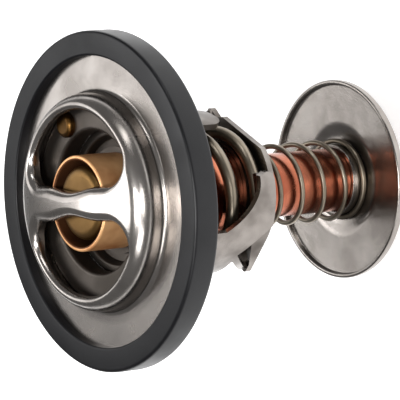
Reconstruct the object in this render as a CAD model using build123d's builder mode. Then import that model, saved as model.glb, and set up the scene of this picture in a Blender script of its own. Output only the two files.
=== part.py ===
# Engine thermostat with a bypass valve, standing on its bypass disc. Millimetres, +Z up.
# The origin is the centre of the ring that the bypass disc rests on. The wax element runs up
# the Z axis, the flange and its rubber seal are near the top, and the bridge runs along X.
# Water comes in from below, between the two legs, and leaves through the two dome windows.

from build123d import *
import math
import os

os.makedirs("parts", exist_ok=True)

# Driving sizes: the dome, the seal, the copper element and the disc lead, the rest follows
sheet = 1.2                    # pressed stainless sheet of the dome, the frame and the bracket
slide_gap = 0.08               # radial running gap of a sliding collar on the copper element
piston_gap = 0.05              # radial running gap of the steel piston

# Dome, heights
crown_z = 68.5
crown_sphere_r = 67.4
bridge_lip_z = crown_z - 2.5
plate_top_z = crown_z - 7.0
plate_bottom_z = plate_top_z - sheet
flange_top_z = crown_z - 8.75
flange_mid_z = flange_top_z - sheet
flange_bottom_z = flange_mid_z - sheet

# Rubber seal and the flange that it grips
seal_r = 33.0
seal_top_z = flange_top_z + 1.75
seal_bottom_z = flange_top_z - 3.73
flange_r = seal_r - 2.0
seal_lip_r = flange_r - 2.8
seal_back_lip_r = flange_r - 3.2

# Wax element
body_r = 9.28
body_wall = 0.9
body_bore_r = body_r - body_wall
body_top_z = bridge_lip_z - 0.55
body_shoulder_z = 25.5
cavity_r = body_bore_r - 0.98
cavity_floor_z = body_shoulder_z + 1.3
stem_r = 6.4
stem_bore_r = stem_r - 0.9
stem_bottom_z = 0.5
piston_r = 2.2
piston_bottom_z = 42.5
spigot_r = 1.0
guide_boss_r = body_bore_r - 1.18
guide_top_z = body_top_z - 0.35
guide_flange_top_z = plate_top_z - 2.0
guide_bottom_z = guide_flange_top_z - 2.0
washer_bottom_z = guide_bottom_z - 0.5
ledge_z = washer_bottom_z - 1.0
boot_r = piston_r + 2.4
boot_bore_bottom_z = piston_bottom_z - 1.5
boot_bottom_z = boot_bore_bottom_z - 1.2
plug_top_z = 3.0

# Springs, both right-handed: wire radius, middle radius, turns counted from the +Y direction
collar_outer_r = body_r + slide_gap + 0.94
main_wire_r = 1.25
main_mean_r = collar_outer_r + 0.1 + main_wire_r
main_outer_r = main_mean_r + main_wire_r
main_first_turn = -2.26
main_last_turn = 1.237
bypass_wire_r = 0.45
bypass_mean_r = stem_r + 0.95 + bypass_wire_r
bypass_first_turn = -1.19
bypass_last_turn = 3.165
end_turn = 0.67                # flat part of a turn at each end of both springs
spring_air = 0.03              # between an end coil and the face that it presses on

# Main valve disc and its snap ring
valve_sheet = 1.1
valve_rim_top_z = plate_top_z - 4.3
valve_floor_z = valve_rim_top_z - 2.95  # underside, where the main spring pushes
valve_step_r = main_outer_r + 0.15
valve_r = valve_step_r + 1.35
snap_groove_r = body_r - 0.38
snap_outer_r = body_r + 1.12
snap_thick = 1.0
snap_gap = 5.0

# Seat, legs and dome wall
port_r = valve_r - 0.56
seat_top_z = valve_rim_top_z + 0.78
seat_bottom_z = valve_rim_top_z - 0.92
skirt_r = valve_r + 0.4
skirt_outer_r = skirt_r + 1.3
skirt_bottom_z = valve_rim_top_z - 1.2
wall_r = skirt_outer_r + 5.0
leg_angle = 104.0              # counter-clockwise from +X to the middle of the first leg
leg_turn = 48.0                # from the leg's middle to each of its straight sides, degrees
foot_turn = 65.0               # from the leg's middle to the middle of its foot
foot_end_turn = 92.0

# Lower bracket and the ends of the legs round it
base_r = skirt_r - 0.4
base_top_z = body_shoulder_z + 4.5
base_bottom_z = base_top_z - sheet
ear_reach = skirt_outer_r + 1.0
side_reach = main_outer_r - 0.2  # the straight side of each arm passes this far from the axis
ear_wall_rise = 3.0
collar_rise = 2.8
leg_flare_z = base_top_z + 11.0  # below this the leg widens into a foot on one side
leg_bottom_z = base_top_z + 6.2
foot_top_z = base_top_z + 3.6
tongue_half = 0.7
tongue_lean = 5.2

# Dome, in plan
bend_r = 1.07
shoulder_r = 4.2
window_corner_r = 4.2
bridge_half = 3.35
bridge_waist_half = bridge_half - 1.0
bridge_end_half = bridge_half + 0.4
lip_sheet = 1.0

# Vent pin in the seat plate, midway between the port and the dome's wall
pin_reach = (port_r + wall_r - sheet) / 2
pin_angle = 117.0
pin_shank_r = 0.9
pin_hole_r = pin_shank_r + 0.4
pin_weight_r = pin_hole_r + 0.1
pin_head_r = pin_hole_r + 1.2
pin_head_height = 1.4
pin_weight_top_z = plate_bottom_z - 1.0
pin_weight_height = 0.95

# Bypass disc
disc_r = 20.14
disc_bead = 0.92
disc_face_z = 1.55
disc_bead_top_z = disc_face_z + 1.0
disc_sheet = 0.85
disc_sleeve_r = stem_r + 0.8
disc_sleeve_top_z = 3.6
disc_counterbore_r = disc_sleeve_r + 0.2
plug_head_r = disc_counterbore_r - 0.15
plug_head_bottom_z = 0.05
disc_floor_r = bypass_mean_r + 1.7
disc_rest_r = disc_floor_r - 0.2
disc_recess_r = disc_floor_r + 1.3
disc_floor_z = 0.9


def spring_points(mean_r, top_z, bottom_z, first_turn, last_turn):
    """Points down a spring's wire: a flat end, the pitched turns, a flat end."""
    steps = 12
    count = round((last_turn - first_turn + 2 * end_turn) * steps)
    points = []
    for i in range(count + 1):
        turn = first_turn - end_turn + i * (last_turn - first_turn + 2 * end_turn) / count
        share = min(1.0, max(0.0, (turn - first_turn) / (last_turn - first_turn)))
        angle = 2 * math.pi * turn
        z = top_z + (bottom_z - top_z) * share
        points.append((mean_r * math.sin(angle), mean_r * math.cos(angle), z))
    return points


# Rubber seal: a ring of U section that grips the edges of the dome flange and the frame.
with BuildPart() as seal_ring:
    with BuildSketch(Plane.XZ) as seal_section:
        with BuildLine():
            Polyline(
                (seal_lip_r, flange_top_z),
                (seal_lip_r, seal_top_z),
                (seal_r, seal_top_z),
                (seal_r, seal_bottom_z),
                (seal_back_lip_r, seal_bottom_z),
                (seal_back_lip_r, flange_bottom_z),
                (flange_r, flange_bottom_z),
                (flange_r, flange_top_z),
                close=True,
            )
        make_face()
        fillet(seal_section.vertices().group_by(Axis.X)[-1], 0.7)
        fillet(seal_section.vertices().group_by(Axis.Y)[-1].sort_by(Axis.X)[0], 0.5)
        fillet(seal_section.vertices().group_by(Axis.Y)[0].sort_by(Axis.X)[0], 0.5)
    revolve(axis=Axis.Z)

# Dome and flange, one pressing. Two windows leave a waisted bridge, whose edges turn down.
foot_r = wall_r + bend_r
shoulder_centre_r = wall_r - shoulder_r
sphere_centre_z = crown_z - crown_sphere_r
shoulder_centre_z = sphere_centre_z + math.sqrt((crown_sphere_r - shoulder_r) ** 2 - shoulder_centre_r ** 2)
shoulder_end_r = shoulder_centre_r * crown_sphere_r / (crown_sphere_r - shoulder_r)
shoulder_end_z = sphere_centre_z + math.sqrt(crown_sphere_r ** 2 - shoulder_end_r ** 2)
inner_end_r = shoulder_centre_r * (crown_sphere_r - sheet) / (crown_sphere_r - shoulder_r)
inner_end_z = sphere_centre_z + math.sqrt((crown_sphere_r - sheet) ** 2 - inner_end_r ** 2)
window_r = shoulder_centre_r + 1.1
bridge_end = wall_r + 0.9


def bridge_outline(inset):
    """The waisted outline of the bridge in plan, with both of its long edges moved in."""
    with BuildSketch() as outline:
        with BuildLine():
            edge = Spline(
                (-bridge_end, inset - bridge_end_half),
                (-window_r / 2, inset - bridge_half),
                (0, inset - bridge_waist_half),
                (window_r / 2, inset - bridge_half),
                (bridge_end, inset - bridge_end_half),
            )
            Line(edge @ 1, (bridge_end, 0))
            Line((bridge_end, 0), (-bridge_end, 0))
            Line((-bridge_end, 0), edge @ 0)
        make_face()
        mirror(about=Plane.XZ)
    return outline.sketch


bridge_plan = bridge_outline(0)
bridge_inside = bridge_outline(lip_sheet)

# The two lips under the bridge's edges, up to the middle of the crown's sheet
mid_sphere_r = crown_sphere_r - sheet / 2
mid_end_r = window_r - 1.0
mid_end_z = sphere_centre_z + math.sqrt(mid_sphere_r ** 2 - mid_end_r ** 2)
with BuildPart() as bridge_lips:
    with BuildSketch(Plane.XY.offset(bridge_lip_z)):
        add(bridge_plan)
        add(bridge_inside, mode=Mode.SUBTRACT)
    extrude(amount=crown_z - bridge_lip_z)
    with BuildSketch(Plane.XZ):
        with BuildLine():
            RadiusArc((0, crown_z - sheet / 2), (mid_end_r, mid_end_z), mid_sphere_r)
            Line((mid_end_r, mid_end_z), (mid_end_r, flange_top_z))
            Line((mid_end_r, flange_top_z), (0, flange_top_z))
            Line((0, flange_top_z), (0, crown_z - sheet / 2))
        make_face()
    revolve(axis=Axis.Z, mode=Mode.INTERSECT)

with BuildPart() as dome_flange:
    with BuildSketch(Plane.XZ):
        with BuildLine():
            Line((flange_r, flange_mid_z), (flange_r, flange_top_z))
            Line((flange_r, flange_top_z), (foot_r, flange_top_z))
            RadiusArc((foot_r, flange_top_z), (wall_r, flange_top_z + bend_r), bend_r)
            Line((wall_r, flange_top_z + bend_r), (wall_r, shoulder_centre_z))
            RadiusArc((wall_r, shoulder_centre_z), (shoulder_end_r, shoulder_end_z), -shoulder_r)
            RadiusArc((shoulder_end_r, shoulder_end_z), (0, crown_z), -crown_sphere_r)
            Line((0, crown_z), (0, crown_z - sheet))
            RadiusArc((0, crown_z - sheet), (inner_end_r, inner_end_z), crown_sphere_r - sheet)
            RadiusArc((inner_end_r, inner_end_z), (wall_r - sheet, shoulder_centre_z), shoulder_r - sheet)
            Line((wall_r - sheet, shoulder_centre_z), (wall_r - sheet, flange_top_z + bend_r))
            RadiusArc((wall_r - sheet, flange_top_z + bend_r), (foot_r, flange_mid_z), -(bend_r + sheet))
            Line((foot_r, flange_mid_z), (flange_r, flange_mid_z))
        make_face()
    revolve(axis=Axis.Z)
    add(bridge_lips.part)
    with BuildSketch(Plane.XY.offset(shoulder_centre_z)) as windows:
        Circle(window_r)
        add(bridge_plan, mode=Mode.SUBTRACT)
        fillet(windows.vertices(), window_corner_r)
    extrude(amount=crown_z, mode=Mode.SUBTRACT)

# Seat and frame, one pressing: rim under the dome's flange, seat plate, port, skirt and legs.
# Cuts in the rolled sheet are square to it, so each outline is drawn facing its own stretch.
leg_ring_height = skirt_bottom_z + 0.5 - base_bottom_z
foot_facing = Plane(
    origin=(0, 0, 0),
    x_dir=(-math.sin(math.radians(foot_turn)), math.cos(math.radians(foot_turn)), 0),
    z_dir=(math.cos(math.radians(foot_turn)), math.sin(math.radians(foot_turn)), 0),
)


def across(turn):
    """Where a direction, in degrees from the leg's middle, falls in the foot's outline."""
    return skirt_outer_r * math.sin(math.radians(turn - foot_turn))


# The foot wraps round one side below the leg, and ends on a slant.
with BuildPart() as leg_foot:
    with BuildSketch(Plane.XY.offset(base_bottom_z)):
        Circle(skirt_outer_r)
        Circle(skirt_r, mode=Mode.SUBTRACT)
    extrude(amount=leg_ring_height)
    with BuildSketch(foot_facing) as foot_outline:
        with BuildLine():
            upper = Spline(
                (across(leg_turn), leg_flare_z),
                (across(leg_turn + 6.5), leg_flare_z - 2.6),
                (across(foot_turn), foot_top_z + 1.9),
                (across(foot_turn + 9.0), foot_top_z + 0.4),
                (across(foot_end_turn - 6.0), foot_top_z - 0.2),
            )
            Polyline(
                upper @ 1,
                (across(foot_end_turn), base_top_z),
                (across(leg_turn + 2.0), base_top_z),
                (across(leg_turn - 10.0), base_top_z + 3.1),
                (across(leg_turn - 24.0), leg_bottom_z),
                (across(leg_turn - 24.0), leg_bottom_z + 1.0),
                upper @ 0,
            )
        make_face()
        heel = foot_facing.from_local_coords((across(leg_turn + 2.0), base_top_z))
        fillet(foot_outline.vertices().sort_by_distance(heel)[0], 1.5)
    extrude(amount=skirt_outer_r, mode=Mode.INTERSECT)

# The tongue leans down from the leg's lower edge into a slot in the bracket's ear.
with BuildPart() as leg_tongue:
    with BuildSketch(Plane.XY.offset(base_bottom_z)):
        Circle(skirt_outer_r)
        Circle(skirt_r, mode=Mode.SUBTRACT)
    extrude(amount=leg_ring_height)
    with BuildSketch(Plane.YZ):
        Polygon(
            (-tongue_half, base_bottom_z),
            (tongue_half, base_bottom_z),
            (tongue_half, base_top_z + 0.3),
            (tongue_lean + 2.0, leg_bottom_z),
            (tongue_lean + 2.0, leg_bottom_z + 1.0),
            (tongue_lean, leg_bottom_z + 1.0),
            (tongue_lean, leg_bottom_z),
            (-tongue_half, base_top_z + 0.6),
            align=None,
        )
    extrude(amount=skirt_outer_r, mode=Mode.INTERSECT)

with BuildPart() as leg:
    with BuildSketch(Plane.XY.offset(leg_bottom_z)):
        Circle(skirt_outer_r)
        Circle(skirt_r, mode=Mode.SUBTRACT)
        Polygon(
            (0, 0),
            (wall_r, -wall_r * math.tan(math.radians(leg_turn))),
            (wall_r, wall_r * math.tan(math.radians(leg_turn))),
            align=None,
            mode=Mode.INTERSECT,
        )
    extrude(amount=skirt_bottom_z + 0.5 - leg_bottom_z)
    fillet(leg.edges().filter_by(GeomType.LINE).group_by(Axis.Z)[0].sort_by(Axis.Y)[0], 2.5)
    add(leg_foot.part)
    add(leg_tongue.part)

with BuildPart() as seat_frame:
    with BuildSketch(Plane.XZ) as seat_section:
        with BuildLine():
            Polyline(
                (flange_r, flange_bottom_z),
                (flange_r, flange_mid_z),
                (wall_r - sheet, flange_mid_z),
                (wall_r - sheet, plate_top_z),
                (port_r, plate_top_z),
                (port_r, seat_top_z),
                (skirt_r, seat_bottom_z),
                (skirt_r, skirt_bottom_z),
                (skirt_outer_r, skirt_bottom_z),
                (skirt_outer_r, seat_bottom_z - 0.2),
                (port_r + sheet, seat_top_z - 0.6),
                (port_r + sheet, plate_bottom_z),
                (wall_r - 2 * sheet, plate_bottom_z),
                (wall_r - 2 * sheet, flange_bottom_z),
                close=True,
            )
        make_face()
        fillet(seat_section.vertices().sort_by_distance((wall_r - sheet, plate_top_z))[0], 1.0)
        fillet(seat_section.vertices().sort_by_distance((port_r, plate_top_z))[0], 0.7)
        fillet(seat_section.vertices().sort_by_distance((wall_r - 2 * sheet, flange_bottom_z))[0], 1.0)
    revolve(axis=Axis.Z)
    with PolarLocations(0, 2, start_angle=leg_angle):
        add(leg.part)
    with BuildSketch(Plane.XY.offset(plate_bottom_z - 0.5)):
        with PolarLocations(pin_reach, 1, start_angle=pin_angle):
            Circle(pin_hole_r)
    extrude(amount=sheet + 1.0, mode=Mode.SUBTRACT)

# Lower bracket: a round base with a guide collar and two pointed ears. Each ear has a slot,
# in which a tongue of the frame sits, flush with the ear's underside. One side of an ear is a
# tangent to the base and carries a low wall. The other side is cut straight across the base.
ear_turn = math.acos(base_r / ear_reach)
side_turn = math.degrees(math.acos(side_reach / ear_reach))
tangent_point = (base_r * math.cos(ear_turn), base_r * math.sin(ear_turn))
with BuildSketch() as base_outline:
    Circle(base_r)
    with PolarLocations(0, 2, start_angle=leg_angle):
        Polygon((0, 0), (ear_reach, 0), tangent_point, align=None)
        Polygon((0, 0), (side_reach / 2, -side_reach / 2), (ear_reach, 0), align=None)
    with PolarLocations(side_reach + base_r / 2, 2, start_angle=leg_angle - side_turn):
        Rectangle(base_r, 3 * base_r, mode=Mode.SUBTRACT)
    fillet(base_outline.vertices().group_by(SortBy.DISTANCE)[-1], 0.8)

with BuildPart() as ear_wall:
    with BuildSketch(Plane.XY.offset(base_top_z)):
        Circle(base_r)
        Polygon((0, 0), (ear_reach, 0), tangent_point, align=None)
        Circle(base_r - sheet, mode=Mode.SUBTRACT)
        Rectangle(base_r, 2 * base_r, align=(Align.MAX, Align.CENTER), mode=Mode.SUBTRACT)
    extrude(amount=ear_wall_rise)
    with BuildSketch(Plane.YZ):
        Polygon(
            (tongue_half + 1.3, base_top_z),
            (tongue_half + 8.8, base_top_z + ear_wall_rise),
            (base_r, base_top_z + ear_wall_rise),
            (base_r, base_top_z),
            align=None,
        )
    extrude(amount=ear_reach, mode=Mode.INTERSECT)

with BuildPart() as lower_bracket:
    with BuildSketch(Plane.XY.offset(base_bottom_z)):
        add(base_outline.sketch)
        with PolarLocations(0, 2, start_angle=leg_angle):
            with Locations(((skirt_r + skirt_outer_r) / 2, 0)):
                Rectangle(skirt_outer_r - skirt_r + 0.1, 2 * tongue_half + 0.04, mode=Mode.SUBTRACT)
    extrude(amount=sheet)
    with PolarLocations(0, 2, start_angle=leg_angle):
        add(ear_wall.part)
    with BuildSketch(Plane.XY.offset(base_top_z)):
        Circle(collar_outer_r)
    extrude(amount=collar_rise)
    with BuildSketch(Plane.XY.offset(base_bottom_z - 1.0)):
        Circle(body_r + slide_gap)
    extrude(amount=10.0, mode=Mode.SUBTRACT)

# Brass vent pin, loose in its hole in the seat plate, with a weight at its lower end.
with BuildPart() as jiggle_pin:
    with BuildSketch(Plane.XY.offset(plate_top_z)):
        with PolarLocations(pin_reach, 1, start_angle=pin_angle):
            Circle(pin_head_r)
    extrude(amount=pin_head_height)
    fillet(jiggle_pin.edges().group_by(Axis.Z)[-1], 0.9)
    with BuildSketch(Plane.XY.offset(pin_weight_top_z)):
        with PolarLocations(pin_reach, 1, start_angle=pin_angle):
            Circle(pin_shank_r)
    extrude(amount=plate_top_z - pin_weight_top_z)
    with BuildSketch(Plane.XY.offset(pin_weight_top_z)):
        with PolarLocations(pin_reach, 1, start_angle=pin_angle):
            Circle(pin_weight_r)
    extrude(amount=-pin_weight_height)

# Main valve disc: a stepped pressing on the copper body, with the spring under its floor.
with BuildPart() as main_valve_disc:
    with BuildSketch(Plane.XZ) as valve_section:
        with BuildLine():
            Polyline(
                (body_r, valve_floor_z),
                (valve_step_r, valve_floor_z),
                (valve_step_r + 0.4, valve_rim_top_z - valve_sheet),
                (valve_r, valve_rim_top_z - valve_sheet),
                (valve_r, valve_rim_top_z),
                (valve_step_r - 0.5, valve_rim_top_z),
                (valve_step_r - 1.0, valve_floor_z + valve_sheet),
                (body_r, valve_floor_z + valve_sheet),
                close=True,
            )
        make_face()
        fillet(valve_section.vertices().sort_by_distance((valve_r, valve_rim_top_z))[0], 0.4)
    revolve(axis=Axis.Z)

# Snap ring in the body's groove, which the valve disc pushes against.
snap_bottom_z = valve_floor_z + valve_sheet
with BuildPart() as valve_snap_ring:
    with BuildSketch(Plane.XY.offset(snap_bottom_z)):
        Circle(snap_outer_r)
        Circle(snap_groove_r, mode=Mode.SUBTRACT)
        with Locations((-snap_outer_r, 0)):
            Rectangle(snap_outer_r, snap_gap, mode=Mode.SUBTRACT)
    extrude(amount=snap_thick)

# Copper element body: open rim, crimp bead over the guide, wax cavity, shoulder and stem.
with BuildPart() as element_body:
    with BuildSketch(Plane.XZ) as body_section:
        with BuildLine():
            Polyline(
                (body_bore_r, body_top_z),
                (body_r, body_top_z),
                (body_r, snap_bottom_z + snap_thick),
                (snap_groove_r, snap_bottom_z + snap_thick),
                (snap_groove_r, snap_bottom_z),
                (body_r, snap_bottom_z),
                (body_r, body_shoulder_z),
                (stem_r, body_shoulder_z),
                (stem_r, stem_bottom_z),
                (stem_bore_r, stem_bottom_z),
                (stem_bore_r, cavity_floor_z),
                (cavity_r, cavity_floor_z),
                (cavity_r, ledge_z),
                (body_bore_r, ledge_z),
                (body_bore_r, guide_flange_top_z),
                (body_bore_r - 0.4, guide_flange_top_z + 0.3),
                (body_bore_r, guide_flange_top_z + 0.8),
                close=True,
            )
        make_face()
        fillet(body_section.vertices().group_by(Axis.Y)[-1], 0.35)
        fillet(body_section.vertices().sort_by_distance((body_r, body_shoulder_z))[0], 1.2)
        fillet(body_section.vertices().sort_by_distance((stem_r, body_shoulder_z))[0], 0.4)
    revolve(axis=Axis.Z)

# Brass guide, with the piston's bore.
with BuildPart() as piston_guide:
    with BuildSketch(Plane.XZ) as guide_section:
        with BuildLine():
            Polyline(
                (piston_r + piston_gap, guide_bottom_z),
                (body_bore_r, guide_bottom_z),
                (body_bore_r, guide_flange_top_z),
                (guide_boss_r, guide_flange_top_z),
                (guide_boss_r, guide_top_z),
                (piston_r + piston_gap, guide_top_z),
                close=True,
            )
        make_face()
        fillet(guide_section.vertices().sort_by_distance((guide_boss_r, guide_top_z))[0], 1.6)
    revolve(axis=Axis.Z)

# Slippery washer between the guide and the rubber boot.
with BuildPart() as backup_washer:
    with BuildSketch(Plane.XY.offset(washer_bottom_z)):
        Circle(body_bore_r)
        Circle(piston_r + piston_gap, mode=Mode.SUBTRACT)
    extrude(amount=guide_bottom_z - washer_bottom_z)

# Rubber boot: a flange and a closed tube around the piston, which the wax squeezes.
with BuildPart() as rubber_boot:
    with BuildSketch(Plane.XZ):
        with BuildLine():
            Polyline(
                (0, boot_bottom_z),
                (boot_r, boot_bottom_z),
                (boot_r, ledge_z),
                (body_bore_r, ledge_z),
                (body_bore_r, washer_bottom_z),
                (piston_r + piston_gap, washer_bottom_z),
                (piston_r + piston_gap, boot_bore_bottom_z),
                (0, boot_bore_bottom_z),
                close=True,
            )
        make_face()
    revolve(axis=Axis.Z)

# Steel piston, fixed under the bridge: the element moves down along it.
with BuildPart() as piston:
    with BuildSketch(Plane.XY.offset(piston_bottom_z)):
        Circle(piston_r)
    extrude(amount=bridge_lip_z - piston_bottom_z)
    chamfer(piston.edges().group_by(Axis.Z)[0], 0.5)
    with BuildSketch(Plane.XY.offset(bridge_lip_z)):
        Circle(spigot_r)
    extrude(amount=crown_z - sheet - bridge_lip_z)

# Wax charge: all the room in the body below the boot's flange, down to the plug.
with BuildPart() as wax_charge:
    with BuildSketch(Plane.XZ):
        with BuildLine():
            Polyline(
                (0, plug_top_z),
                (stem_bore_r, plug_top_z),
                (stem_bore_r, cavity_floor_z),
                (cavity_r, cavity_floor_z),
                (cavity_r, ledge_z),
                (boot_r, ledge_z),
                (boot_r, boot_bottom_z),
                (0, boot_bottom_z),
                close=True,
            )
        make_face()
    revolve(axis=Axis.Z)

# Plug that closes the stem, with a head that keeps the bypass disc on.
with BuildPart() as capsule_plug:
    with BuildSketch(Plane.XY.offset(plug_head_bottom_z)):
        Circle(plug_head_r)
    extrude(amount=stem_bottom_z - plug_head_bottom_z)
    with BuildSketch(Plane.XY.offset(stem_bottom_z)):
        Circle(stem_bore_r)
    extrude(amount=plug_top_z - stem_bottom_z)

# Main spring, from the bracket's base to the underside of the valve disc.
with BuildPart() as main_spring:
    with BuildLine() as main_path:
        Spline(
            *spring_points(
                main_mean_r,
                valve_floor_z - main_wire_r - spring_air,
                base_top_z + main_wire_r + spring_air,
                main_first_turn,
                main_last_turn,
            )
        )
    with BuildSketch(Plane(origin=main_path.wire() @ 0, z_dir=main_path.wire() % 0)):
        Circle(main_wire_r)
    sweep(path=main_path.wire(), is_frenet=True)

# Bypass spring, from the body's shoulder down to the floor of the bypass disc.
with BuildPart() as bypass_spring:
    with BuildLine() as bypass_path:
        Spline(
            *spring_points(
                bypass_mean_r,
                body_shoulder_z - bypass_wire_r - spring_air,
                disc_floor_z + bypass_wire_r + spring_air,
                bypass_first_turn,
                bypass_last_turn,
            )
        )
    with BuildSketch(Plane(origin=bypass_path.wire() @ 0, z_dir=bypass_path.wire() % 0)):
        Circle(bypass_wire_r)
    sweep(path=bypass_path.wire(), is_frenet=True)

# Bypass disc: sliding sleeve, sunk floor that the part stands on, flat annulus, rolled bead.
with BuildPart() as bypass_disc:
    with BuildSketch(Plane.XZ) as disc_section:
        with BuildLine():
            Polyline(
                (disc_counterbore_r, 0),
                (disc_rest_r, 0),
                (disc_recess_r - 0.2, disc_face_z - disc_sheet),
                (disc_r, disc_face_z - disc_sheet),
                (disc_r, disc_bead_top_z),
                (disc_r - disc_bead, disc_bead_top_z),
                (disc_r - disc_bead, disc_face_z),
                (disc_recess_r, disc_face_z),
                (disc_floor_r, disc_floor_z),
                (disc_sleeve_r, disc_floor_z),
                (disc_sleeve_r, disc_sleeve_top_z),
                (stem_r + slide_gap, disc_sleeve_top_z),
                (stem_r + slide_gap, stem_bottom_z),
                (disc_counterbore_r, stem_bottom_z),
                close=True,
            )
        make_face()
        fillet(disc_section.vertices().group_by(Axis.Y)[-2], 0.44)
        fillet(disc_section.vertices().sort_by_distance((disc_r, disc_face_z - disc_sheet))[0], 0.9)
        fillet(disc_section.vertices().sort_by_distance((disc_recess_r, disc_face_z))[0], 0.6)
    revolve(axis=Axis.Z)

seal_ring.part.label = "seal_ring"
dome_flange.part.label = "dome_flange"
seat_frame.part.label = "seat_frame"
lower_bracket.part.label = "lower_bracket"
jiggle_pin.part.label = "jiggle_pin"
main_valve_disc.part.label = "main_valve_disc"
valve_snap_ring.part.label = "valve_snap_ring"
element_body.part.label = "element_body"
piston_guide.part.label = "piston_guide"
backup_washer.part.label = "backup_washer"
rubber_boot.part.label = "rubber_boot"
piston.part.label = "piston"
wax_charge.part.label = "wax_charge"
capsule_plug.part.label = "capsule_plug"
main_spring.part.label = "main_spring"
bypass_spring.part.label = "bypass_spring"
bypass_disc.part.label = "bypass_disc"

export_step(seal_ring.part, "parts/seal_ring.step")
export_step(dome_flange.part, "parts/dome_flange.step")
export_step(seat_frame.part, "parts/seat_frame.step")
export_step(lower_bracket.part, "parts/lower_bracket.step")
export_step(jiggle_pin.part, "parts/jiggle_pin.step")
export_step(main_valve_disc.part, "parts/main_valve_disc.step")
export_step(valve_snap_ring.part, "parts/valve_snap_ring.step")
export_step(element_body.part, "parts/element_body.step")
export_step(piston_guide.part, "parts/piston_guide.step")
export_step(backup_washer.part, "parts/backup_washer.step")
export_step(rubber_boot.part, "parts/rubber_boot.step")
export_step(piston.part, "parts/piston.step")
export_step(wax_charge.part, "parts/wax_charge.step")
export_step(capsule_plug.part, "parts/capsule_plug.step")
export_step(main_spring.part, "parts/main_spring.step")
export_step(bypass_spring.part, "parts/bypass_spring.step")
export_step(bypass_disc.part, "parts/bypass_disc.step")
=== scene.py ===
# %% [markdown]
# An engine thermostat, dressed for a product photograph
#
# The thermostat sits where the coolant leaves a car's engine. When the coolant gets hot, wax in
# a copper body melts, the body slides down a fixed piston, and the valve disc on it leaves its
# seat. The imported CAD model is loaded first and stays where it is. Each step below explains one
# piece or finish, makes it and prints what it made. Lengths are written in millimetres and are
# turned into metres when a mesh is made.

# %% Load the frame
import math
import bmesh
import bpy
from mathutils import Matrix, Vector


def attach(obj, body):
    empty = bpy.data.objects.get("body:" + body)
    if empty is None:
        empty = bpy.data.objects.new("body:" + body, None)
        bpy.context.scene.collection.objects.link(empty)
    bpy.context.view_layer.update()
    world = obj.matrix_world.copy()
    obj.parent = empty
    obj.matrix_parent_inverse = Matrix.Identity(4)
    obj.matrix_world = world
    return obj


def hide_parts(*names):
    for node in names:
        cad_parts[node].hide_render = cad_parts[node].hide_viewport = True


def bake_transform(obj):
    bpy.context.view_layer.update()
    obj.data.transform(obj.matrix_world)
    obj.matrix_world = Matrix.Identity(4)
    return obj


MM = 0.001
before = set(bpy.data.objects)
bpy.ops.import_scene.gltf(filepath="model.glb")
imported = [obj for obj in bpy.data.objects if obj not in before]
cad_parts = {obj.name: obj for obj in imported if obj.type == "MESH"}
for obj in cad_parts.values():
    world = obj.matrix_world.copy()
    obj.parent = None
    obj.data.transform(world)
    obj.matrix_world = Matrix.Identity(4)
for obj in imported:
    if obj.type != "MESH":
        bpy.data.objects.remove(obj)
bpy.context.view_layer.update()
print("nodes:", sorted(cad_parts))

# %% [markdown]
# Round pieces
#
# Nearly every piece is round, because it was moulded, turned or pressed in a round die. A Screw
# modifier could spin a profile, but a mesh written point by point needs nothing applied later.
# So each profile is drawn once in (radius, height) and spun round the axis. No real edge is
# knife sharp, and a rounded one catches a thin line of light, so corners are bent first.


# %% Rounded profile
def rounded(points, radii, steps=5):
    """A closed profile whose corners are bent, each from where an arc of its radius starts."""
    out = []
    count = len(points)
    for i, (point, radius) in enumerate(zip(points, radii)):
        here = Vector(point)
        to_last = Vector(points[i - 1]) - here
        to_next = Vector(points[(i + 1) % count]) - here
        if radius <= 0:
            out.append(here)
            continue
        reach = min(to_last.length, to_next.length) * 0.5
        half = to_last.angle(to_next) / 2
        cut = min(radius / math.tan(half), reach)
        a = here + to_last.normalized() * cut
        b = here + to_next.normalized() * cut
        for k in range(steps + 1):
            t = k / steps
            out.append(a * (1 - t) ** 2 + here * 2 * t * (1 - t) + b * t ** 2)
    return [(p[0], p[1]) for p in out]


square = [(0, 0), (1, 0), (1, 1), (0, 1)]
print("a square with one bent corner has", len(rounded(square, [0.2, 0, 0, 0])), "points")


# %% Mesh from points
def make_piece(name, verts, faces, angle=40):
    """A smooth object from points in mm, with creases where faces meet at more than angle."""
    mesh = bpy.data.meshes.new(name)
    mesh.from_pydata([Vector(v) * MM for v in verts], [], faces)
    mesh.validate()
    mesh.shade_smooth()
    mesh.set_sharp_from_angle(angle=math.radians(angle))
    piece = bpy.data.objects.new(name, mesh)
    bpy.context.scene.collection.objects.link(piece)
    return piece


def join_points(piece):
    """Merges points that meet, and turns every face outwards."""
    bm = bmesh.new()
    bm.from_mesh(piece.data)
    bmesh.ops.remove_doubles(bm, verts=bm.verts, dist=1e-6)
    bmesh.ops.recalc_face_normals(bm, faces=bm.faces)
    bm.to_mesh(piece.data)
    bm.free()


# %% Profile spun round the axis
def lathe(name, profile, turns, angle=40):
    """Spins a closed profile of (radius, height) round the Z axis, in as many steps as turns."""
    rows = len(profile)
    verts = []
    for r, z in profile:
        for k in range(turns):
            a = 2 * math.pi * k / turns
            verts.append((r * math.cos(a), r * math.sin(a), z))
    faces = []
    for i in range(rows):
        j = (i + 1) % rows
        for k in range(turns):
            m = (k + 1) % turns
            faces.append((i * turns + k, j * turns + k, j * turns + m, i * turns + m))
    piece = make_piece(name, verts, faces, angle)
    join_points(piece)
    return piece


# %% [markdown]
# Finishes
#
# Colours are sRGB hex values, as a designer reads them off a swatch, and one function turns
# them into the linear values that the shader wants. A finish could be one flat colour, but real
# metal is darker or duller in patches and has a grain. So one recipe mixes two tones, varies
# the gloss and lays a fine bump over it. The real grain is under 0.1 mm wide, too fine for a
# picture with 5 pixels to the millimetre. It is drawn 0.2 to 0.4 mm wide, as coarse as it needs
# to show. Every metal keeps the default index of refraction.


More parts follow.
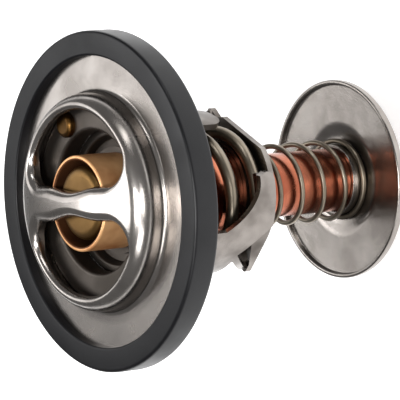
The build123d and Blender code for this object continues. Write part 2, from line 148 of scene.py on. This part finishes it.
# %% Colour
def linear(code):
    """An sRGB hex code as linear red, green, blue and alpha."""
    parts = [int(code[i:i + 2], 16) / 255 for i in (1, 3, 5)]
    return [c / 12.92 if c <= 0.04045 else ((c + 0.055) / 1.055) ** 2.4 for c in parts] + [1.0]


print("middle grey in linear light:", round(linear("#808080")[0], 3))


# %% One shader node
def add(tree, kind, links=(), **values):
    """One shader node, with its sockets or settings set by name, and its inputs linked."""
    node = tree.nodes.new(kind)
    for key, value in values.items():
        name = key.replace("_", " ")
        socket = next((s for s in node.inputs if s.name.lower() == name.lower()), None)
        if socket is not None:
            socket.default_value = value
        else:
            setattr(node, key, value)
    for source, target in links:
        tree.links.new(source, node.inputs[target])
    return node


# %% Recipe of a finish
PATCH_MM = 9.0
GRAIN_DEPTH_MM = 0.02


def finish_of(name, colour, tone, metallic, roughness, spread, grain_mm, bump):
    """Two tones in soft patches, uneven gloss and a fine grain, sized in millimetres."""
    material = bpy.data.materials.new(name)
    material.use_nodes = True
    tree = material.node_tree
    shader = tree.nodes["Principled BSDF"]
    shader.inputs["Metallic"].default_value = metallic
    place = add(tree, "ShaderNodeTexCoord")
    patches = add(tree, "ShaderNodeTexNoise", [(place.outputs["Object"], "Vector")],
                  Scale=1 / (PATCH_MM * MM), Detail=3.0, Roughness=0.5)
    share = add(tree, "ShaderNodeMapRange", [(patches.outputs["Fac"], "Value")],
                interpolation_type="SMOOTHSTEP", From_Min=0.3, From_Max=0.7)
    tones = add(tree, "ShaderNodeMix", data_type="RGBA")
    tones.inputs[6].default_value = linear(colour)
    tones.inputs[7].default_value = linear(tone)
    tree.links.new(share.outputs[0], tones.inputs[0])
    tree.links.new(tones.outputs[2], shader.inputs["Base Color"])
    gloss = add(tree, "ShaderNodeMapRange", [(patches.outputs["Fac"], "Value")],
                From_Min=0.35, From_Max=0.65, To_Min=roughness - spread, To_Max=roughness + spread)
    tree.links.new(gloss.outputs[0], shader.inputs["Roughness"])
    grain = add(tree, "ShaderNodeTexNoise", [(place.outputs["Object"], "Vector")],
                Scale=1 / (grain_mm * MM), Detail=4.0, Roughness=0.6)
    relief = add(tree, "ShaderNodeBump", [(grain.outputs["Fac"], "Height")],
                 Strength=bump, Distance=GRAIN_DEPTH_MM * MM)
    tree.links.new(relief.outputs[0], shader.inputs["Normal"])
    print("finish:", name)
    return material


# %% Finish and body of a piece
def dress(piece, material, body, slot, *nodes):
    """Gives a new piece its finish and its body, and hides the CAD nodes that it stands for."""
    piece.data.materials.clear()
    piece.data.materials.append(material)
    if body:
        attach(piece, body)
    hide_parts(*nodes)
    print(piece.name, "has", len(piece.data.polygons), "faces")


# %% [markdown]
# Rubber seal
#
# A ring of nitrile rubber with a U section grips the flange's edge and seals the housing that
# the thermostat is clamped in. A bevelled cylinder would need a groove cut into it. Spinning the
# section gives both lips and the groove at once.

# %% Seal
FLANGE_R, FLANGE_TOP_Z, FLANGE_BOTTOM_Z = 31.0, 59.75, 57.35
SEAL_R, SEAL_TOP_Z, SEAL_BOTTOM_Z = 33.0, 61.5, 56.02
UPPER_LIP_R, LOWER_LIP_R = 28.2, 27.8

# Nitrile rubber from a polished steel mould: black, with a soft sheen on its rounded edges
rubber = finish_of("moulded_black_rubber", "#0B0B0E", "#07070A",
                   metallic=0.0, roughness=0.38, spread=0.06, grain_mm=0.35, bump=0.35)
rubber.node_tree.nodes["Principled BSDF"].inputs["Specular IOR Level"].default_value = 0.28
seal_profile = rounded(
    [(UPPER_LIP_R, FLANGE_TOP_Z), (UPPER_LIP_R, SEAL_TOP_Z - 0.2), (UPPER_LIP_R + 0.35, SEAL_TOP_Z),
     (SEAL_R, SEAL_TOP_Z), (SEAL_R, SEAL_BOTTOM_Z), (LOWER_LIP_R, SEAL_BOTTOM_Z),
     (LOWER_LIP_R, FLANGE_BOTTOM_Z), (FLANGE_R, FLANGE_BOTTOM_Z), (FLANGE_R, FLANGE_TOP_Z)],
    [0, 0.2, 0.3, 0.75, 0.75, 0.5, 0, 0, 0],
)
seal = lathe("seal_ring_moulded", seal_profile, 256, angle=50)
dress(seal, rubber, "housing", "seal_rubber", "seal_ring")

# %% [markdown]
# Dome and flange
#
# The dome is one pressed sheet. Coolant leaves through its two windows, and the waisted bridge
# between them holds the piston. The sheet rolls over and turns down at the windows' edges. Cut
# with a boolean, those edges would be square. So a quarter of the top is built as rows of
# points: each row climbs the turned-down edge, rolls over it and runs to the bridge's middle
# line or to the shoulder. The quarter is mirrored, and the wall and the flange are spun on.

# %% Sizes of the dome, as in the CAD
CROWN_Z, CROWN_SPHERE_R = 68.5, 67.4
SHOULDER_CENTRE_R, SHOULDER_CENTRE_Z, SHOULDER_R = 16.9, 62.0, 4.2
WINDOW_R, CORNER_R = 18.0, 4.2
JOIN_R = 20.2       # where the quarter of the top meets the spun wall
ROLL_R = 1.9        # of the rolled edge
print("wall radius:", round(SHOULDER_CENTRE_R + SHOULDER_R, 2), "mm")

# %% Waist of the bridge
WAIST_HALF = 2.35
FLARE_X, FLARE = 9.0, 1.0           # the bridge widens softly up to here
ROOT_X, ROOT_FLARE = 22.0, 0.4      # and evenly from there to the wall


def ease(share):
    """Goes from 0 to 1 with a soft start and a soft end."""
    share = min(max(share, 0), 1)
    return share * share * (3 - 2 * share)


def bridge_half(x):
    """Half the bridge's width at x: waisted in the middle, wider towards the shoulder."""
    beyond = max(0.0, (x - FLARE_X) / (ROOT_X - FLARE_X))
    return WAIST_HALF + FLARE * ease(x / FLARE_X) + ROOT_FLARE * beyond


print("bridge width in mm:", 2 * bridge_half(0), "to", round(2 * bridge_half(14), 2))


# %% Evenly spaced points
def resample(points, count):
    """The same outline with evenly spaced points."""
    lengths = [0.0]
    for a, b in zip(points, points[1:]):
        lengths.append(lengths[-1] + (b - a).length)
    out, j = [], 0
    for k in range(count):
        want = lengths[-1] * k / (count - 1)
        while j < len(points) - 2 and lengths[j + 1] < want:
            j += 1
        t = min(max((want - lengths[j]) / (lengths[j + 1] - lengths[j]), 0), 1)
        out.append(points[j].lerp(points[j + 1], t))
    return out


line = resample([Vector((0, 0)), Vector((1, 0)), Vector((4, 0))], 5)
print("a line of 4 mm in even steps:", [round(p.x, 2) for p in line])


# %% Outline of a window
def window_edge(samples):
    """A quarter of both windows' outline, from the bridge's middle round to the far side."""
    corner_x = 11.4
    for _ in range(20):     # the corner's arc touches both the bridge and the window's circle
        corner_y = bridge_half(corner_x) + CORNER_R
        corner_x = math.sqrt((WINDOW_R - CORNER_R) ** 2 - corner_y ** 2)
    end = math.atan2(corner_y, corner_x)
    raw = [Vector((corner_x * k / 120, bridge_half(corner_x * k / 120))) for k in range(120)]
    for k in range(80):
        a = -math.pi / 2 + (end + math.pi / 2) * k / 80
        raw.append(Vector((corner_x + CORNER_R * math.cos(a), corner_y + CORNER_R * math.sin(a))))
    for k in range(161):
        a = end + (math.pi / 2 - end) * k / 160
        raw.append(Vector((WINDOW_R * math.cos(a), WINDOW_R * math.sin(a))))
    return resample(raw, samples)


edge = window_edge(110)
print("window outline:", len(edge), "points, from", tuple(round(c, 2) for c in edge[0]))


# %% Height of the dome
def crown_height(r):
    """The outer surface of the pressed dome before its windows are cut."""
    limit = SHOULDER_CENTRE_R * CROWN_SPHERE_R / (CROWN_SPHERE_R - SHOULDER_R)
    if r <= limit:
        return CROWN_Z - CROWN_SPHERE_R + math.sqrt(CROWN_SPHERE_R ** 2 - r * r)
    return SHOULDER_CENTRE_Z + math.sqrt(max(SHOULDER_R ** 2 - (r - SHOULDER_CENTRE_R) ** 2, 0))


print("dome height at the join:", round(crown_height(JOIN_R), 2), "mm")

# %% Depth of the turned-down edge
RIM_CLEAR_Z = 66.0                  # over the copper rim, the edge stays above this height
RIM_ZONE_R, FAR_ZONE_Y = 10.0, 7.0  # where the rim's zone ends and where the far side starts
CORNER_DEPTH, FAR_DEPTH = 2.9, 2.05


def lip_depth(p):
    """How deep the edge turns down: clear of the copper rim and the vent pin, deep between."""
    over_rim = crown_height(p.length) - RIM_CLEAR_Z
    off_rim = ease((p.length - RIM_ZONE_R) / 3.0)
    far_side = ease((p.y - FAR_ZONE_Y) / 4.0)
    beside_rim = CORNER_DEPTH * (1 - far_side) + FAR_DEPTH * far_side
    return over_rim * (1 - off_rim) + beside_rim * off_rim


print("edge depth in mm:", round(lip_depth(edge[0]), 2), "to", round(lip_depth(edge[-1]), 2))


# %% Way from an edge point to the join
BRIDGE_END_X = 13.5     # rows that start nearer the middle end on the bridge
split = next(i for i, p in enumerate(edge) if p.x > BRIDGE_END_X)


def outward(i):
    """The level direction out of the window at an edge point."""
    if i == 0:
        return Vector((0, -1))
    if i == len(edge) - 1:
        return Vector((0, 1))
    along = edge[i + 1] - edge[i - 1]
    return Vector((along.y, -along.x)).normalized()


def goal_of(i):
    """Where a row ends: on the bridge's middle line, or on the ring where the wall joins."""
    if i <= split:
        return Vector((JOIN_R * i / split, 0.0))
    a = math.pi / 2 * (i - split) / (len(edge) - 1 - split)
    return Vector((JOIN_R * math.cos(a), JOIN_R * math.sin(a)))


print("rows that end on the bridge:", split + 1, "of", len(edge))

# %% Rows of the quarter
LIP_STEPS, ROLL_STEPS, ACROSS_STEPS = 4, 12, 20


def dome_row(i):
    """One row: up the turned-down edge, over the roll and on to its goal."""
    p, out = edge[i], outward(i)
    depth = max(lip_depth(p) - ROLL_R, 0.15)
    foot = crown_height(p.length) - ROLL_R
    row = [Vector((p.x, p.y, foot - depth * (1 - k / LIP_STEPS))) for k in range(LIP_STEPS)]
    for k in range(ROLL_STEPS + 1):
        turn = math.pi / 2 * k / ROLL_STEPS
        q = p + out * ROLL_R * (1 - math.cos(turn))
        row.append(Vector((q.x, q.y, crown_height(q.length) - ROLL_R * (1 - math.sin(turn)))))
    start = p + out * ROLL_R
    for k in range(1, ACROSS_STEPS + 1):
        q = start.lerp(goal_of(i), k / ACROSS_STEPS)
        row.append(Vector((q.x, q.y, crown_height(q.length))))
    return row


quarter = [dome_row(i) for i in range(len(edge))]
wide = len(quarter[0])
print("quarter of the top:", len(quarter), "rows of", wide)

# %% Mirror the quarter
verts, faces = [], []
for sx, sy in ((1, 1), (-1, 1), (1, -1), (-1, -1)):
    base = len(verts)
    for row in quarter:
        verts += [(v.x * sx, v.y * sy, v.z) for v in row]
    for i in range(len(quarter) - 1):
        for k in range(wide - 1):
            a = base + i * wide + k
            faces.append((a, a + wide, a + wide + 1, a + 1))
print("top of the dome:", len(faces), "faces")

# %% Section of the wall and the flange
BEND_R = 1.07       # between the wall and the flange
wall_r = SHOULDER_CENTRE_R + SHOULDER_R
flank = []
for k in range(10):
    a = math.acos((JOIN_R - SHOULDER_CENTRE_R) / SHOULDER_R) * (1 - k / 9)
    r = SHOULDER_CENTRE_R + SHOULDER_R * math.cos(a)
    flank.append((r, SHOULDER_CENTRE_Z + SHOULDER_R * math.sin(a)))
flank.append((wall_r, 61.2))
for k in range(9):
    a = math.pi / 2 * k / 8
    flank.append((wall_r + BEND_R * (1 - math.cos(a)), FLANGE_TOP_Z + BEND_R * (1 - math.sin(a))))
flank += [(r, FLANGE_TOP_Z) for r in (24.0, 26.5, 29.0, FLANGE_R - 0.05)]
print("wall and flange:", len(flank), "points in their section")

# %% Spin the wall and the flange
# The spin uses the angles of the top's own last points, so that the two meet without a gap.
rim_angles = [math.atan2(row[-1].y, row[-1].x) for row in quarter
              if abs(math.hypot(row[-1].x, row[-1].y) - JOIN_R) < 1e-4]
mirrored = [a for q in rim_angles for a in (q, math.pi - q, math.pi + q, 2 * math.pi - q)]
ring = sorted(set(round(a, 7) for a in mirrored if a < 2 * math.pi - 1e-5))
base = len(verts)
for r, z in flank:
    verts += [(r * math.cos(a), r * math.sin(a), z) for a in ring]
count = len(ring)
for i in range(len(flank) - 1):
    for k in range(count):
        m = (k + 1) % count
        a, b = base + i * count, base + (i + 1) * count
        faces.append((a + k, b + k, b + m, a + m))
print("spun in", count, "steps")

# %% Dome
SHEET = 1.17        # 0.03 mm under the CAD's sheet, so it lies just clear of the frame's rim

# Stainless sheet, drawn in a polished die: burnished where it slid, so it mirrors softly
stainless = finish_of("pressed_stainless", "#BAB4AF", "#98928D",
                      metallic=1.0, roughness=0.23, spread=0.05, grain_mm=0.25, bump=0.25)
dome = make_piece("dome_pressing", verts, faces, 60)
join_points(dome)
sheet = dome.modifiers.new("sheet", "SOLIDIFY")
sheet.thickness = SHEET * MM
sheet.offset = -1
dress(dome, stainless, "housing", "flange_steel", "dome_flange")

# %% [markdown]
# Wax element
#
# The element is the thermostat's motor: a drawn copper body full of wax, with a turned brass
# guide in its open end. Its parts could be cylinders put together, but then each step in
# diameter would be a sharp ring. One spun section has the rolled rim, the groove of the snap
# ring, the shoulder and the stem.

# %% Copper body
BODY_R, BORE_R, BODY_TOP_Z = 9.28, 8.38, 65.45
GROOVE_R, GROOVE_TOP_Z, GROOVE_BOTTOM_Z = 8.9, 56.35, 55.35
STEM_R, SHOULDER_Z, STEM_BOTTOM_Z = 6.4, 25.5, 0.5
STEM_BORE_R, CAVITY_R, CAVITY_FLOOR_Z, CAVITY_TOP_Z = 5.5, 7.4, 26.8, 56.0

# Deep-drawn copper: smooth, and bright pink with darker patches where the coolant has been
copper = finish_of("drawn_copper", "#C47A5E", "#8C4C38",
                   metallic=1.0, roughness=0.24, spread=0.06, grain_mm=0.3, bump=0.25)
# Copper of the body's upper end: golden brown and duller than the stem, with its colour pushed bright
# as painted light, so that it looks lit in the dome's shade
upper_copper_painted_light = finish_of("golden_copper_painted_light", "#FFC88E", "#B87444",
                        metallic=0.6, roughness=0.42, spread=0.06, grain_mm=0.3, bump=0.3)
# Copper in the open bore, darkened to a dark brown as painted shade, which frames the brass
bore_painted_shade_copper = finish_of("bore_copper_painted_shade", "#7A4E30", "#4A2C1A",
                        metallic=0.8, roughness=0.50, spread=0.06, grain_mm=0.3, bump=0.3)
body_profile = rounded(
    [(BORE_R, BODY_TOP_Z), (BODY_R, BODY_TOP_Z), (BODY_R, GROOVE_TOP_Z), (GROOVE_R, GROOVE_TOP_Z),
     (GROOVE_R, GROOVE_BOTTOM_Z), (BODY_R, GROOVE_BOTTOM_Z), (BODY_R, SHOULDER_Z), (STEM_R, SHOULDER_Z),
     (STEM_R, STEM_BOTTOM_Z), (STEM_BORE_R, STEM_BOTTOM_Z), (STEM_BORE_R, CAVITY_FLOOR_Z),
     (CAVITY_R, CAVITY_FLOOR_Z), (CAVITY_R, CAVITY_TOP_Z), (BORE_R, CAVITY_TOP_Z)],
    [0.35, 0.4, 0, 0, 0, 0, 1.3, 0.4, 0.1, 0, 0, 0, 0, 0],
)
body = lathe("element_body_drawn", body_profile, 160)
dress(body, copper, "capsule", "body_copper", "element_body")
body.data.materials.append(upper_copper_painted_light)
body.data.materials.append(bore_painted_shade_copper)
# Above 57 mm, inside the dome, the bore's faces get the copper darkened as painted shade, and the outer
# wall gets the copper brightened as painted light
for face in body.data.polygons:
    if face.center.z > 57 * MM:
        in_bore = math.hypot(face.center.x, face.center.y) < 8.75 * MM
        face.material_index = 2 if in_bore else 1

# %% Brass guide
PISTON_HOLE_R = 2.25
COLLAR_BOTTOM_Z, COLLAR_TOP_Z = 57.5, 59.5
BOSS_R, BOSS_TOP_Z = 7.2, 65.1

# Turned brass, dulled by handling: a quiet yellow with a soft light on its rounded shoulder
brass = finish_of("turned_brass", "#80623A", "#5E4626",
                  metallic=1.0, roughness=0.42, spread=0.06, grain_mm=0.3, bump=0.25)
guide_profile = rounded(
    [(PISTON_HOLE_R, COLLAR_BOTTOM_Z), (BORE_R, COLLAR_BOTTOM_Z), (BORE_R, COLLAR_TOP_Z),
     (BOSS_R, COLLAR_TOP_Z), (BOSS_R, BOSS_TOP_Z), (PISTON_HOLE_R, BOSS_TOP_Z)],
    [0, 0, 0, 0.2, 1.9, 0.2], 8,
)
guide = lathe("piston_guide_turned", guide_profile, 128)
dress(guide, brass, "capsule", "guide_brass", "piston_guide")

# %% Main valve disc
VALVE_R, VALVE_STEP_R = 14.4, 13.05
VALVE_FLOOR_Z, VALVE_RIM_Z, VALVE_SHEET = 54.25, 57.2, 1.1

# Bead-blasted stainless: matt, with its colour darkened as painted shade, so that what lies in the
# dome's shade stays dark
painted_shade_steel = finish_of("matt_stainless_painted_shade", "#5C5651", "#48433E",
                       metallic=1.0, roughness=0.45, spread=0.05, grain_mm=0.2, bump=0.35)
valve_profile = rounded(
    [(BODY_R, VALVE_FLOOR_Z), (VALVE_STEP_R, VALVE_FLOOR_Z),
     (VALVE_STEP_R + 0.4, VALVE_RIM_Z - VALVE_SHEET), (VALVE_R, VALVE_RIM_Z - VALVE_SHEET),
     (VALVE_R, VALVE_RIM_Z), (VALVE_STEP_R - 0.5, VALVE_RIM_Z),
     (VALVE_STEP_R - 1.0, VALVE_FLOOR_Z + VALVE_SHEET), (BODY_R, VALVE_FLOOR_Z + VALVE_SHEET)],
    [0, 0.6, 0.2, 0.3, 0.4, 0.6, 0.3, 0],
)
valve = lathe("main_valve_pressed", valve_profile, 160)
dress(valve, painted_shade_steel, "capsule", "valve_steel", "main_valve_disc")

# %% [markdown]
# Bypass disc
#
# A flat pressed disc closes the bypass when the engine is hot. It has a bead at its rim, a sunk
# floor for the spring and a sleeve that slides on the stem. A plain cylinder would look like a
# coin, since the bead and the bend to the floor are what catch the light, so it is spun too.

# %% Disc
DISC_R, DISC_BOTTOM_Z, DISC_TOP_Z = 20.14, 0.7, 1.55
BEAD_R, BEAD_TOP_Z = 19.22, 2.55            # of the bead's inner side
FLOOR_R, FLOOR_TOP_Z = 8.9, 0.9             # of the sunk floor
SLEEVE_R, SLEEVE_OUTER_R, SLEEVE_TOP_Z = 6.48, 7.2, 3.6

# Stainless sheet as the mill rolled it: satin grey from above, a blurred mirror at a low angle
stainless_satin = finish_of("satin_rolled_stainless", "#A09A95", "#857F7A",
                            metallic=1.0, roughness=0.24, spread=0.03, grain_mm=0.35, bump=0.9)
disc_profile = rounded(
    [(7.4, 0.0), (FLOOR_R + 0.4, 0.0), (10.6, DISC_BOTTOM_Z), (DISC_R, DISC_BOTTOM_Z),
     (DISC_R, BEAD_TOP_Z), (BEAD_R, BEAD_TOP_Z), (BEAD_R, DISC_TOP_Z), (11.2, DISC_TOP_Z),
     (FLOOR_R, FLOOR_TOP_Z), (SLEEVE_OUTER_R, FLOOR_TOP_Z), (SLEEVE_OUTER_R, SLEEVE_TOP_Z),
     (SLEEVE_R, SLEEVE_TOP_Z), (SLEEVE_R, 0.5), (7.4, 0.5)],
    [0, 0.6, 0.6, 0.9, 0.42, 0.42, 0.25, 5.0, 5.0, 0.2, 0.2, 0.1, 0, 0], 8,
)
disc = lathe("bypass_disc_pressed", disc_profile, 224)
dress(disc, stainless_satin, "bypass_valve", "disc_steel", "bypass_disc")

# %% [markdown]
# Springs
#
# Both springs are wound from round wire, with a flat end at each side to sit on. A curve with a bevel
# would do, but its ends would be cut flat, so the wire is a row of rings along a list of points, with
# domed ends.


# %% Round wire
def tube(name, path, radius, sides):
    """A round wire along a list of points, with domed ends."""
    rings = []
    count = len(path)
    for i, p in enumerate(path):
        ahead = Vector(path[min(i + 1, count - 1)]) - Vector(path[max(i - 1, 0)])
        ahead.normalize()
        side = ahead.cross(Vector((0, 0, 1))).normalized()
        rings.append((Vector(p), side, side.cross(ahead), ahead))
    dome_steps = [math.radians(k) for k in (30, 60, 90)]
    stations = [(rings[0], -math.sin(k), math.cos(k)) for k in reversed(dome_steps)]
    stations += [(ring, 0.0, 1.0) for ring in rings]
    stations += [(rings[-1], math.sin(k), math.cos(k)) for k in dome_steps]
    verts, faces = [], []
    for (centre, side, up, ahead), push, scale in stations:
        tip = centre + ahead * (radius * push * 0.3)
        for k in range(sides):
            a = 2 * math.pi * k / sides
            verts.append(tip + (side * math.cos(a) + up * math.sin(a)) * radius * max(scale, 0.02))
    for i in range(len(stations) - 1):
        for k in range(sides):
            m = (k + 1) % sides
            faces.append((i * sides + k, i * sides + m, (i + 1) * sides + m, (i + 1) * sides + k))
    faces.append(tuple(range(sides)))
    faces.append(tuple(reversed(range((len(stations) - 1) * sides, len(stations) * sides))))
    piece = make_piece(name, verts, faces, 60)
    join_points(piece)
    return piece


# %% Path of a coil
PER_TURN = 48
FLAT_END = 0.67     # turns that lie flat at each end
SOFT = 0.05         # share of the climb that bends softly into the flat turns


def coil(mean, top, bottom, first, last):
    """Points of a spring with a mean radius, which climbs between two turns counted from +Y."""
    turns = last - first + 2 * FLAT_END
    count = int(turns * PER_TURN)
    path = []
    for i in range(count + 1):
        turn = first - FLAT_END + i * turns / count
        share = (turn - first) / (last - first)
        eased = min(max(share, 0), 1)
        if abs(share) < SOFT:
            eased = (share + SOFT) ** 2 / (4 * SOFT)
        if abs(share - 1) < SOFT:
            eased = 1 - (1 + SOFT - share) ** 2 / (4 * SOFT)
        a = 2 * math.pi * turn
        path.append((mean * math.sin(a), mean * math.cos(a), top + (bottom - top) * eased))
    return path


# %% Main spring and bypass spring
# Spring steel, drawn through a die with soap: smooth, with a brownish film and soft highlights
stainless_wire = finish_of("drawn_spring_wire", "#8F8577", "#71685B",
                           metallic=1.0, roughness=0.36, spread=0.05, grain_mm=0.3, bump=0.2)
main_path = coil(mean=11.65, top=52.97, bottom=31.28, first=-2.26, last=1.237)
main_spring = tube("main_spring_wound", main_path, 1.25, 24)
dress(main_spring, stainless_wire, None, "spring_steel", "main_spring")
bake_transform(main_spring)
bypass_path = coil(mean=7.8, top=25.02, bottom=1.46, first=-1.19, last=3.165)
bypass_spring = tube("bypass_spring_wound", bypass_path, 0.53, 14)
dress(bypass_spring, stainless_wire, None, "spring_steel", "bypass_spring")
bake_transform(bypass_spring)

# %% [markdown]
# Pieces kept from the CAD
#
# The frame, the bracket, the pin and the small parts inside have the right shape already. They
# could be traced again as meshes, but that would only risk a gap at a joint, so they keep their
# imported shape and get a finish.

# %% Finishes of the kept pieces
# The frame's sheet was tumbled with stones after pressing: a duller grey, in cloudy patches made dark
# as painted reflections
frame_steel_painted_mottle = finish_of("stainless_with_painted_reflections", "#8A847F", "#4E4843",
                        metallic=1.0, roughness=0.30, spread=0.07, grain_mm=0.22, bump=0.4)
# Turned brass, darkened almost to brown, so only the pin's edge still shines
dark_brown_brass = finish_of("dark_brown_brass", "#5E4422", "#3E2A14",
                            metallic=1.0, roughness=0.34, spread=0.05, grain_mm=0.3, bump=0.25)
# Moulded polymer of the washer: plain white, and hidden in the guide
polymer = finish_of("white_polymer", "#E4E2DC", "#D6D3CB",
                    metallic=0.0, roughness=0.4, spread=0.05, grain_mm=0.4, bump=0.1)
# Wax with copper powder in it, cast into the body: a matt brown
wax_finish = finish_of("filled_wax", "#8A5A3A", "#6E4530",
                       metallic=0.0, roughness=0.5, spread=0.05, grain_mm=0.4, bump=0.2)

# %% Put the finishes on
finishes = {
    "seat_frame": frame_steel_painted_mottle,
    "lower_bracket": frame_steel_painted_mottle,
    "jiggle_pin": dark_brown_brass,
    "valve_snap_ring": painted_shade_steel,
    "backup_washer": polymer,
    "rubber_boot": rubber,
    "piston": stainless_wire,
    "wax_charge": wax_finish,
    "capsule_plug": copper,
}
for node, material in finishes.items():
    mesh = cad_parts[node].data
    mesh.materials.clear()
    mesh.materials.append(material)
print("finished CAD nodes:", len(finishes))

# %% Seat plate with painted shade
# The part of the frame that is seen through the windows gets the dark matt finish, whose colour is
# painted shade, so the windows look dark.
PLATE_Z, PLATE_R = 57.0, 19.5
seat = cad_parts["seat_frame"]
seat.data.materials.append(painted_shade_steel)
matt = 0
for face in seat.data.polygons:
    centre = seat.matrix_world @ face.center / MM
    if centre.z > PLATE_Z and math.hypot(centre.x, centre.y) < PLATE_R:
        face.material_index = 1
        matt += 1
print("matt faces of the seat plate:", matt)

# %% [markdown]
# Floor
#
# The photograph is a product shot on white. A white plane would turn grey where the lamps don't
# reach it, so the floor is opal glass with a little light of its own. It lies below the part by
# more than the valve's travel, because the open valve brings the disc down by 8 mm.

# %% Floor
FLOOR_Z = -8.4 * MM
floor_mesh = bpy.data.meshes.new("floor")
floor_corners = [(x, y, FLOOR_Z) for x, y in ((-2, -2), (2, -2), (2, 2), (-2, 2))]
floor_mesh.from_pydata(floor_corners, [], [(0, 1, 2, 3)])
floor = bpy.data.objects.new("floor", floor_mesh)
bpy.context.scene.collection.objects.link(floor)
# Opal glass, lit from below: an even white without a grain, with only a faint shadow on it
opal = finish_of("opal_table", "#F0F0F0", "#ECECEC",
                 metallic=0.0, roughness=0.7, spread=0.02, grain_mm=2.0, bump=0.02)
opal_shader = opal.node_tree.nodes["Principled BSDF"]
opal_shader.inputs["Emission Color"].default_value = linear("#FFFFFF")
opal_shader.inputs["Emission Strength"].default_value = 0.62
floor.data.materials.append(opal)
print("floor at", round(FLOOR_Z / MM, 1), "mm")

# %% [markdown]
# Light
#
# Metal shows what it mirrors, so the lamps are softboxes, placed where the faces that are bright
# in the photograph mirror them. Points or suns would leave hard spots on every bend. A dim
# white world fills what no softbox reaches.


# %% Softboxes
def softbox(name, place, aim, size, watts):
    """A rectangular lamp at a place in metres, turned towards a point."""
    data = bpy.data.lights.new(name, "AREA")
    data.shape = "RECTANGLE"
    data.size, data.size_y = size
    data.energy = watts
    lamp = bpy.data.objects.new(name, data)
    bpy.context.scene.collection.objects.link(lamp)
    lamp.location = place
    lamp.rotation_euler = (Vector(aim) - Vector(place)).to_track_quat("-Z", "Y").to_euler()
    print("softbox:", name, watts, "W")


# The crown of the dome mirrors the key, the flange and the bypass disc mirror the back box, and
# the dome's shoulder mirrors the front box
softbox("key", (-0.55, 0.05, 1.0), (0, 0, 0.06), (0.42, 0.6), 3.6)
softbox("back", (-1.0, 0.28, 0.75), (0, 0, 0.06), (0.7, 0.7), 2.1)
softbox("front", (0.50, -0.10, 1.05), (0, 0, 0.06), (0.30, 0.5), 11)
# The side box lights the bracket, the fill reaches into the windows, the top box edges the seal
softbox("side", (0.75, -0.7, 0.85), (0, 0, 0.04), (0.5, 0.5), 4)
softbox("fill", (0.95, -0.02, 0.72), (0, 0, 0.05), (0.35, 0.25), 3)
softbox("top", (0.3, 0.9, 0.5), (0, 0, 0.04), (0.2, 0.4), 1.5)

# %% World
world = bpy.data.worlds.new("studio")
bpy.context.scene.world = world
world.use_nodes = True
sky = world.node_tree.nodes["Background"]
sky.inputs["Color"].default_value = linear("#E8E8E8")
sky.inputs["Strength"].default_value = 0.22
print("world strength:", round(sky.inputs["Strength"].default_value, 2))

# %% [markdown]
# Camera
#
# The part is seen from its dome end through a long lens, with its axis lying across the picture
# and +Y pointing up in it. A camera could be aimed by eye, but this one was fitted to the
# circles of the seal, the dome, the flange and the disc in the photograph.

# %% Camera
camera_data = bpy.data.cameras.new("camera")
camera = bpy.data.objects.new("camera", camera_data)
bpy.context.scene.collection.objects.link(camera)
camera_data.lens = 291.87
camera_data.sensor_width = 36.0
camera_data.clip_start = 0.05
camera_data.clip_end = 20.0
right = Vector((0.5839, -0.0635, -0.8093)).normalized()
forward = Vector((-0.8118, -0.0457, -0.5822)).normalized()
up = right.cross(forward).normalized()
turn = Matrix((right, up, -forward)).transposed()
camera.matrix_world = Matrix.Translation((0.5178, 0.0276, 0.4080)) @ turn.to_4x4()
bpy.context.scene.camera = camera
bpy.context.scene.view_settings.view_transform = "Standard"
print("lens:", round(camera_data.lens, 1), "mm")
